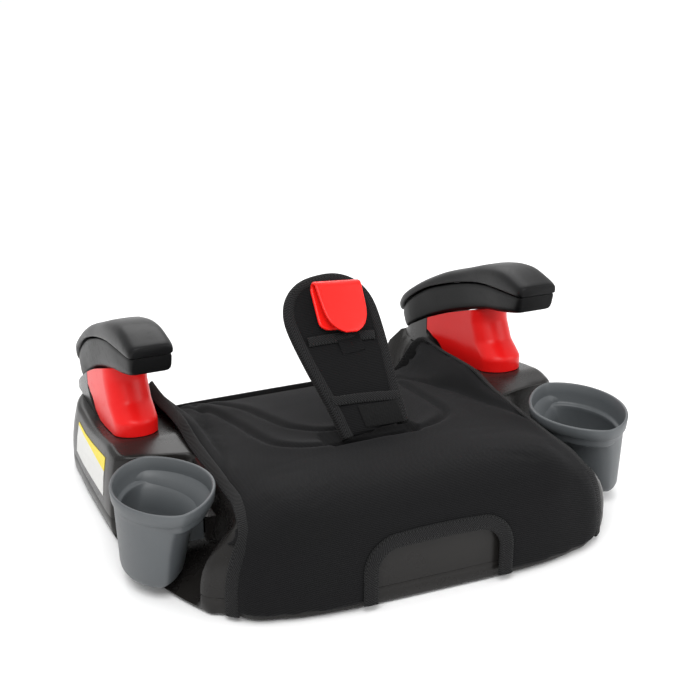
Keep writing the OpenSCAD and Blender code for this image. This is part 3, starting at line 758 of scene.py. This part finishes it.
# ---------------------------------------------------------------- armrests
ARM_UNDER = [[-31, 158], [-27, 155], [-2, 147], [28, 139], [58, 128.5], [88, 116.5], [118, 102],
             [148, 84.5], [170, 69]]
ARM_SEAM = [[-35, 173], [-31, 172.5], [0, 168.5], [35, 163], [68, 154], [100, 142], [132, 127],
            [160, 106.5], [180, 86]]
ARM_CROWN = [[-37, 181], [-32, 184], [3, 188], [42, 179], [80, 163.5], [116, 148], [150, 128],
             [176, 108], [190, 91]]
ARM_IN = [168, 163, 162, 162, 160, 155, 149, 144, 147]
ARM_OUT = [195, 200, 201.5, 202, 202, 201.5, 200.5, 200, 196]
HOUSING_SHAPE = [(0.0, 0.97), (0.9, 0.97), (0.965, 0.93), (1, 0.8), (1, 0.35), (0.965, 0.14), (0.86, 0.03),
                 (0.7, 0.0), (0.0, 0.0)]
PAD_SHAPE = [(0.0, 1.0), (0.35, 0.995), (0.6, 0.965), (0.78, 0.89), (0.9, 0.76), (0.98, 0.56), (1.0, 0.33),
             (1.0, 0.12), (0.975, 0.05), (0.93, 0.03), (0.0, 0.03)]


def arm_skin(name, mirror, low, high, shape, grow, count=46):
    low, high = stretch(low, count), stretch(high, count)
    inner, outer = stretch(ARM_IN, count)[:, 0], stretch(ARM_OUT, count)[:, 0]
    shape = np.array(shape)
    rings = []
    for i in range(count):
        mid, half = (inner[i] + outer[i]) / 2, (outer[i] - inner[i]) / 2 + grow
        end = min(i, count - 1 - i)
        trim = (2.6, 1.0, 0.25)[end] if end < 3 else 0.0
        ring = []
        for s in (1, -1):
            row = shape if s == 1 else shape[::-1][1:-1]
            for q in row:
                y, z = lerp(low[i], high[i], q[1] + (0.5 - q[1]) * trim * 0.06)
                ring.append((mid + s * q[0] * (half - trim), y, z))
        rings.append(np.array(ring))
    ob = loft(name, rings, 50, mirror)
    return ob


def armrest(side, mirror):
    housing = arm_skin(f"arm_shell_{side}", mirror, ARM_UNDER, ARM_SEAM, HOUSING_SHAPE, 0.0)
    add(housing, "BEVEL", width=1.2 * MM, segments=2, limit_method="ANGLE", angle_limit=math.radians(50))
    dress(housing, ARM, "base", "arm_plastic", f"arm_housing_{side}")
    pad = arm_skin(f"arm_cushion_{side}", mirror, ARM_SEAM, ARM_CROWN, PAD_SHAPE, 1.0)
    add(pad, "BEVEL", width=2.2 * MM, segments=3, limit_method="ANGLE", angle_limit=math.radians(40))
    dress(pad, SOFT, "base", "soft_pad", f"arm_pad_{side}")


NOSE = [[66, 12], [80, 12], [97, 30], [120, 40], [142, 43]]
INSERT_REAR = [[66, 96], [80, 112], [98, 122]]
NOSE_R, ARM_MID = 20.0, 182.0


def under_z(y):
    return lookup(y, ARM_UNDER)


def inner_x(y):
    return lerp(ARM_MID - NOSE_R, 144.0, clamp01((y - 60) / 80))


def insert_bottom(y):
    return lookup(y, SHOULDER) + 0.65 + 10 * clamp01((y - 74) / 30) ** 2


def insert_path(t, d):
    zn = lerp(66, 136, t)
    cy, yr = lookup(zn, NOSE) + NOSE_R, lookup(zn, INSERT_REAR) - 0.3
    half = lerp(yr, cy, 0.5)
    path = [(ARM_MID + NOSE_R - d, y) for y in (yr, lerp(yr, half, 0.5), half)]
    path += arc(ARM_MID, cy, NOSE_R - d, 0, -180, 20)
    path += [(inner_x(y) + d, y) for y in (half, lerp(yr, half, 0.5), yr)]
    return path


def arm_insert(side, mirror):
    rings = []
    for t in np.linspace(0, 1, 25):
        outline = insert_path(t, 0) + insert_path(t, 2.4)[::-1]
        rings.append([(x, y, lerp(insert_bottom(y), under_z(y) - 0.4, t)) for x, y in outline])
    ob = loft(f"arm_sleeve_{side}", rings, 50, mirror)
    add(ob, "BEVEL", width=0.6 * MM, segments=2, limit_method="ANGLE", angle_limit=math.radians(50))
    dress(ob, RED, "base", "red_plastic", f"arm_insert_{side}")


def arm_column(side, mirror):
    """Column behind the insert, from the shoulder up to the arm."""
    rings = []
    for t in np.linspace(0, 1, 13):
        zn = lerp(66, 136, t)
        cy, yr = lookup(zn, NOSE) + NOSE_R, lookup(zn, INSERT_REAR)
        half, d, xo = lerp(yr, cy, 0.5), 3.0, ARM_MID + NOSE_R
        outer = arc(ARM_MID, cy, NOSE_R - d, -88, -4, 10)
        outer += [(xo - d, half), (xo - d, yr), (xo, yr + 0.8), (xo, 150)]
        outer += arc(xo - 14, 160, 14, 10, 80, 5)
        inner = arc(ARM_MID, cy, NOSE_R - d, -92, -176, 10)
        inner += [(inner_x(half) + d, half), (inner_x(yr) + d, yr), (inner_x(yr), yr + 0.8)]
        inner += [(inner_x(150.0), 150)] + arc(inner_x(150.0) + 15, 160, 14, 170, 100, 5)
        rings.append([(x, y, lerp(lookup(y, SHOULDER) + 0.3, under_z(y) - 0.3, t))
                      for x, y in outer + inner[::-1]])
    ob = loft(f"arm_column_{side}", rings, 40, mirror)
    dress(ob, SHELL, "base", "shell_plastic", f"arm_post_{side}")


# ---------------------------------------------------------------- cup holders
# each row of a cup: height, inner x, outer x, half length
CUP_ROWS = [[12.0, 196, 222, 27], [12.2, 190, 228, 34], [13.2, 186.2, 230.2, 37.4],
            [15.4, 183.4, 231.4, 39.8], [19, 181, 232, 42], [32, 177.6, 232.5, 43.6],
            [45, 175, 233, 45], [60, 170, 233.6, 47], [68, 163.4, 234, 49],
            [73.2, 157.8, 234.2, 51.2], [74.2, 154.6, 235.2, 53.6], [75.4, 152.6, 236, 55],
            [80, 152, 236.5, 55.5], [84.2, 151.6, 236.8, 56], [85.1, 152, 236.4, 55.6],
            [85.5, 152.9, 235.6, 54.8], [85.2, 154.1, 234.6, 53.8], [84.4, 154.7, 234, 53.2],
            [76, 155.8, 233, 52], [68.2, 157, 232.1, 50.8], [66.8, 157.6, 231.7, 50.2],
            [66.2, 159, 230.8, 48.8], [65.6, 161.6, 229.2, 47.2], [64.6, 163.6, 228.6, 46.4],
            [61, 171.6, 230.2, 44.4], [45, 178, 230.2, 42.2], [20, 183.5, 229, 39],
            [16, 187, 226.5, 35.5], [14.8, 192, 224, 31], [14.6, 198, 219, 22]]
CUP_Y = -93.5


def cup_skin(side, mirror):
    w = (np.arange(96) + 0.5) * 2 * math.pi / 96
    k = np.where(np.cos(w) > 0, 0.1, 0.2)
    rings = []
    for z, a, b, half in CUP_ROWS:
        c, r = (a + b) / 2, (b - a) / 2
        y = CUP_Y + half * np.sin(w) * (1 - k * np.abs(np.cos(w)))
        rings.append(np.column_stack([c + r * np.cos(w), y, np.full(96, z)]))
    ob = loft(f"cup_skin_{side}", rings, 60, mirror)
    dress(ob, CUP, f"cup_{side}", "cup_plastic", f"cup_holder_{side}")
    hook = [[164.6, 35], [164.6, 61], [171, 59.4], [175.5, 48], [177.8, 35]]
    verts, faces = [], []
    for sign in (-1, 1):
        block = [(x, CUP_Y + sign * y, z) for y in (8.6, 12) for x, z in hook]
        base = len(verts)
        verts += [(mirror * x, y, z) for x, y, z in block]
        faces += [tuple(base + i for i in range(5)), tuple(base + 5 + i for i in range(5))]
        faces += [(base + i, base + (i + 1) % 5, base + 5 + (i + 1) % 5, base + 5 + i) for i in range(5)]
    grip = tidy_normals(make(f"cup_hook_{side}", verts, faces), 30)
    add(grip, "BEVEL", width=0.6 * MM, segments=2)
    dress(grip, CUP, f"cup_{side}", "cup_plastic")


# ---------------------------------------------------------------- centre strap
STRAP_AT = np.array([0, STRAP_Y, 82.0])
STRAP_TURN = turn("X", 48) @ turn("Z", 6)
PADDLE = [[4, 31.6], [18, 33], [36, 34.5], [54, 37], [70, 39.5], [86, 41.5], [102, 43], [116, 43.3],
          [127, 41.5], [137, 37], [145, 30], [150.5, 21], [153.3, 11], [154, 0]]
PADDLE_X = 6.0


def to_world(points):
    return np.asarray(points, float) @ STRAP_TURN.T + STRAP_AT


def to_strap(points):
    return (np.asarray(points, float) - STRAP_AT) @ STRAP_TURN


def paddle_outline(inset, count):
    """Open outline of the paddle from its right foot round the top to its left foot, moved in by inset."""
    half = [(w, u) for u, w in PADDLE]
    line = spline(half + [(-w, u) for w, u in reversed(half[:-1])], count)
    ahead = np.gradient(line, axis=0)
    ahead /= np.linalg.norm(ahead, axis=1)[:, None]
    return line + np.column_stack([-ahead[:, 1], ahead[:, 0]]) * inset


def strap_cushion():
    n = 120
    rings = []
    for z, inset in ((-3.9, 60), (-3.9, 9), (-3.2, 3), (-1.5, 1), (0, 0.6), (1.5, 1), (3.2, 3), (4.0, 9),
                     (4.6, 22), (4.8, 60)):
        line = paddle_outline(0.0, n)
        centre = np.column_stack([np.zeros(n), np.clip(line[:, 1], 8, 112)])
        gap = centre - line
        dist = np.maximum(np.linalg.norm(gap, axis=1), 1e-6)
        move = np.minimum(inset, dist * 0.97)
        line = line + gap / dist[:, None] * move[:, None]
        rings.append(to_world(np.column_stack([line[:, 0] + PADDLE_X, line[:, 1], np.full(n, z)])))
    ob = loft("strap_cushion", rings)

    def pin(p):
        q = to_strap(p)
        rim = smooth((np.abs(q[:, 0] - PADDLE_X) - 26) / 8)
        return np.maximum(rim, np.maximum(smooth((14 - q[:, 1]) / 8), smooth((q[:, 1] - 140) / 8)))

    inflate(ob, 4.0, 3.0, 1.6, pin)
    q = to_strap(points_of(ob))
    slant = q[:, 1] + (q[:, 0] - PADDLE_X) * math.tan(math.radians(8))
    side = np.sign(q[:, 2])
    for u in (91.5, 33.5):
        q[:, 2] -= side * 1.6 * np.exp(-((slant - u) / 9) ** 2)
    set_points(ob, to_world(q))
    return dress(ob, STRAP_FABRIC, "strap", "cover_fabric", "strap_pad")


def strap_binding():
    line = paddle_outline(4.4, 240)
    path = to_world(np.column_stack([line[:, 0] + PADDLE_X, line[:, 1], np.zeros(len(line))]))
    normal = np.tile(STRAP_TURN @ [0, 0, 1], (len(path), 1))
    ob = tape("strap_binding", path, normal, 10.0, 9.6, power=3.2, sides=24)
    return dress(ob, STRAP_TWILL, "strap", "cover_fabric")


def strap_band(name, middle, width, slope):
    xs = np.linspace(-31, 31, 40)
    sag = 0.5 * np.cos(xs / 31 * math.pi / 2)
    us = middle - xs * math.tan(math.radians(slope)) + 1.5 * sag
    line = np.column_stack([xs + PADDLE_X, us, 4.2 + sag])
    normal = np.tile(STRAP_TURN @ [0, 0, 1], (len(xs), 1))
    return dress(tape(name, to_world(line), normal, width, 2.4), STRAP_TWILL, "strap", "cover_fabric")


def strap_tag():
    """Blank patch of smooth ribbon under the lower band."""
    us, xs = np.linspace(6, 27, 10), np.linspace(-10, 27, 16)
    verts = [(x + PADDLE_X, u - (x - 8) * 0.12, 4.6 + 0.7 * math.sin((u - 6) / 21 * math.pi))
             for u in us for x in xs]
    ob = tidy_normals(make("strap_tag", to_world(verts), grid_faces(len(us), len(xs))))
    add(ob, "SOLIDIFY", thickness=0.9 * MM, offset=0)
    add(ob, "SUBSURF", levels=1, render_levels=1)
    apply_modifiers(ob)
    ob.data.shade_smooth()
    return dress(ob, TAG, "strap", "webbing")


CLIP_TURN = STRAP_TURN @ turn("Z", -7.5) @ turn("Y", 8)
CLIP_AT = to_world([[9, 90, 7.6]])[0]


def clip_skin():
    """Folded hook: a back leaf with round corners, a bend over the top and a shield-shaped front leaf."""
    bend, height = 4.6, 51.0
    rows = [(u, 0.0, "back") for u in np.linspace(8, height - bend, 12)]
    rows += [(height - bend + bend * math.sin(a), bend - bend * math.cos(a), "bend")
             for a in np.linspace(0.3, math.pi - 0.3, 7)]
    rows += [(u, 2 * bend + 2.2 * ((height - bend - u) / height) ** 1.5, "front")
             for u in np.linspace(height - bend, 0.6, 18)]
    verts, cols = [], 15
    for u, z, part in rows:
        full = 23.4 - 1.8 * clamp01((height - u) / 30)
        if part == "back":
            full = 23.9 - 7 * (1 - math.sqrt(max(0.0, 1 - (1 - clamp01((u - 8) / 8)) ** 2)))
        if part == "front":
            v = clamp01(u / 27)
            full *= (1 - (1 - v) ** 2.1) ** 0.5
        for s in np.linspace(-1, 1, cols):
            dish = 0.7 * (1 - s * s) if part == "front" else 0.0
            verts.append((s * max(full, 4.0), u, z + dish))
    world = np.array(verts) @ CLIP_TURN.T + CLIP_AT
    ob = tidy_normals(make("clip_skin", world, grid_faces(len(rows), cols)))
    add(ob, "SOLIDIFY", thickness=3.2 * MM, offset=0)
    add(ob, "SUBSURF", levels=2, render_levels=2)
    apply_modifiers(ob)
    ob.data.shade_smooth()
    return dress(ob, CLIP, "clip", "red_plastic", "belt_clip")


def latch_coil(side):
    """Return spring under a connector's button."""
    low, high = (np.array(p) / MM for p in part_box(f"latch_spring_{side}"))
    middle, radius, wire = (low + high) / 2, (high[0] - low[0]) / 2 - 0.4, 0.8
    turns = np.linspace(0, 8 * math.pi, 150)
    out = np.column_stack([np.cos(turns), np.sin(turns), 0 * turns])
    path = middle * [1, 1, 0] + out * radius
    path[:, 2] += np.linspace(low[2] + 0.45, high[2] - 0.45, len(turns))
    ob = tape(f"latch_coil_{side}", path, out, wire, wire, power=2.0, sides=8)
    dress(ob, STEEL, f"latch_{side}", "latch_steel", f"latch_spring_{side}")
    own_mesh(ob)


# ---------------------------------------------------------------- carried-over CAD nodes
def keep(node, material, bevel=0.8, angle=35):
    """A CAD node shown as it is, with merged flats, softened edges and a material."""
    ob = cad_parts[node]
    ob.data.materials.clear()
    ob.data.materials.append(material)
    add(ob, "WELD", merge_threshold=0.00002)
    add(ob, "DECIMATE", decimate_type="DISSOLVE", angle_limit=math.radians(0.6))
    if bevel:
        add(ob, "BEVEL", width=bevel * MM, segments=2, limit_method="ANGLE", angle_limit=math.radians(angle),
            harden_normals=True)


def carried_over():
    for side, _ in SIDES:
        keep(f"cup_rail_{side}", SHELL, 0.4)
        keep(f"latch_body_{side}", LATCH, 0.8)
        keep(f"latch_hook_{side}", STEEL, 0.3)
        keep(f"latch_pin_{side}", STEEL, 0.2)
        keep(f"latch_button_{side}", RED, 0.6)
        keep(f"latch_webbing_{side}", WEB, 0.4)
    for node in ("shell_screws", "arm_screws", "anchor_bar", "anchor_screws", "strap_slider"):
        keep(node, STEEL, 0.3)
    keep("anchor_clamps", SHELL, 0.6)
    keep("rubber_feet", RUBBER, 0.4)
    keep("side_label", LABEL, 0)
    keep("strap_webbing", WEB, 0.4)
    keep("clip_webbing", STRAP_FABRIC, 0.4)


# ---------------------------------------------------------------- stage, lights and camera
def stage():
    me = bpy.data.meshes.new("floor")
    s = 6.0
    me.from_pydata([(-s, -s, 0), (s, -s, 0), (s, s, 0), (-s, s, 0)], [], [(0, 1, 2, 3)])
    floor = bpy.data.objects.new("floor", me)
    bpy.context.scene.collection.objects.link(floor)
    m = Shader("studio_floor")
    m.set(Base_Color=(0.92, 0.92, 0.92, 1), Roughness=0.9)
    me.materials.append(m.mat)


def area(name, at, look, size, power, tall=None):
    data = bpy.data.lights.new(name, "AREA")
    data.energy = power
    data.size = size
    if tall:
        data.shape, data.size_y = "RECTANGLE", tall
    ob = bpy.data.objects.new(name, data)
    bpy.context.scene.collection.objects.link(ob)
    ob.location = at
    ob.rotation_mode = "QUATERNION"
    ob.rotation_quaternion = (Vector(look) - Vector(at)).to_track_quat("-Z", "Y")


def lights():
    world = bpy.data.worlds.new("studio")
    bpy.context.scene.world = world
    world.use_nodes = True
    world.node_tree.nodes["Background"].inputs[0].default_value = (1, 1, 1, 1)
    world.node_tree.nodes["Background"].inputs[1].default_value = 0.95
    area("key", (-0.7, -1.2, 2.0), (0, 0, 0.05), 1.2, 30)
    area("fill", (1.6, -1.3, 1.2), (0, 0, 0.1), 1.4, 14)
    area("back", (0.3, 1.6, 1.6), (0, 0, 0.1), 1.6, 22)
    bpy.context.scene.view_settings.view_transform = "Standard"


def camera():
    data = bpy.data.cameras.new("camera")
    data.lens, data.sensor_width = 75.3, 36
    data.shift_x, data.shift_y = 0.0161, 0.0523
    ob = bpy.data.objects.new("camera", data)
    bpy.context.scene.collection.objects.link(ob)
    az, el = math.radians(-22.84), math.radians(24.32)
    back = Vector((math.sin(az) * math.cos(el), -math.cos(az) * math.cos(el), math.sin(el)))
    ob.location = Vector((-0.00014, -0.00005, 0.0995)) + back * 1.3255
    ob.rotation_mode = "QUATERNION"
    ob.rotation_quaternion = (-back).to_track_quat("-Z", "Y")
    bpy.context.scene.camera = ob


seat_cushion()
shell_skin()
tray_skin()
cover_binding()
arch_binding()
for side_name, sign in SIDES:
    armrest(side_name, sign)
    arm_column(side_name, sign)
    arm_insert(side_name, sign)
    cup_skin(side_name, sign)
    latch_coil(side_name)
strap_cushion()
strap_binding()
strap_band("strap_band_upper", 91.5, 9.0, 8)
strap_band("strap_band_lower", 33.5, 9.0, 10)
strap_tag()
clip_skin()
carried_over()
stage()
lights()
camera()
